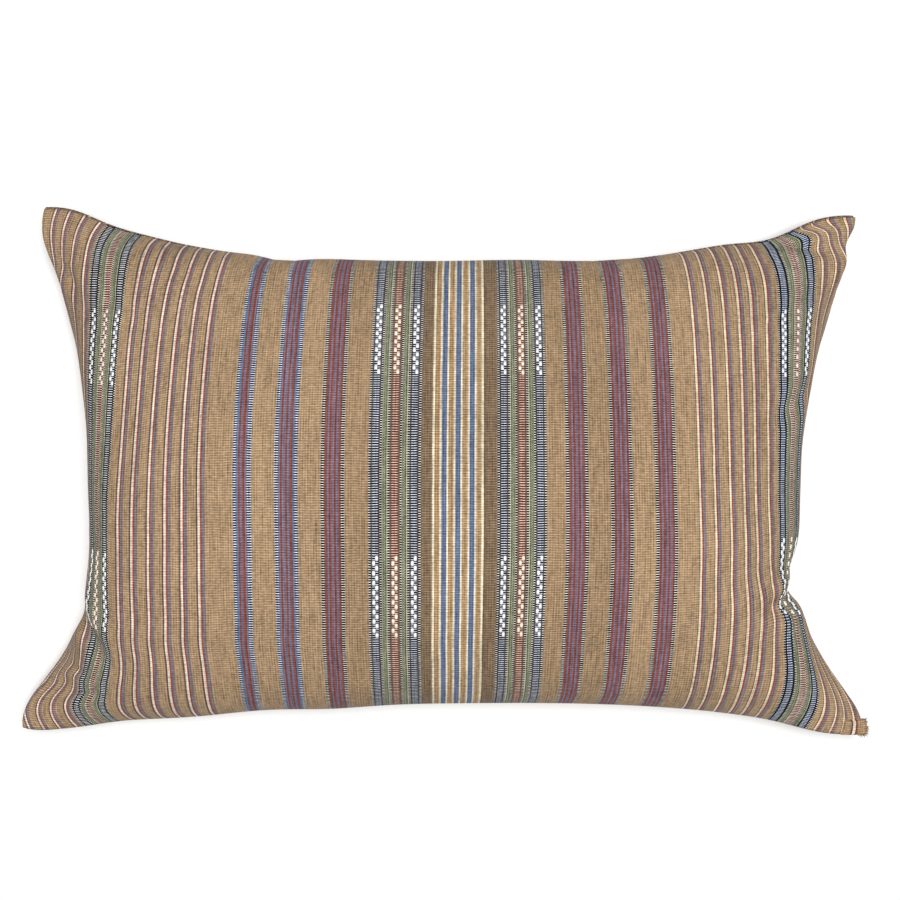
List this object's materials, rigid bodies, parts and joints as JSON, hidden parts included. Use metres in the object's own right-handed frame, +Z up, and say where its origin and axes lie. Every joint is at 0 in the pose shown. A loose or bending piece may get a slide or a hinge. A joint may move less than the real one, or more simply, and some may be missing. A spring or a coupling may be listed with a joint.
{
  "type": "cushion",
  "caption": "Rectangular filled scatter cushion in striped handwoven cotton, with a plain seam all round, drawn-in sides and four soft ears.",
  "frame": {"origin": "on the surface that the cushion lies on, below the middle of its bounding box", "axes": "+X across the stripes along the cushion's length, +Y along the stripes, +Z up out of the face"},
  "size_m": [0.583, 0.3634, 0.1579],
  "materials": {
    "striped_cotton": "matte handwoven cotton with warp stripes"
  },
  "bodies": {
    "root": {"cushion": "striped_cotton"}
  },
  "joints": []
}
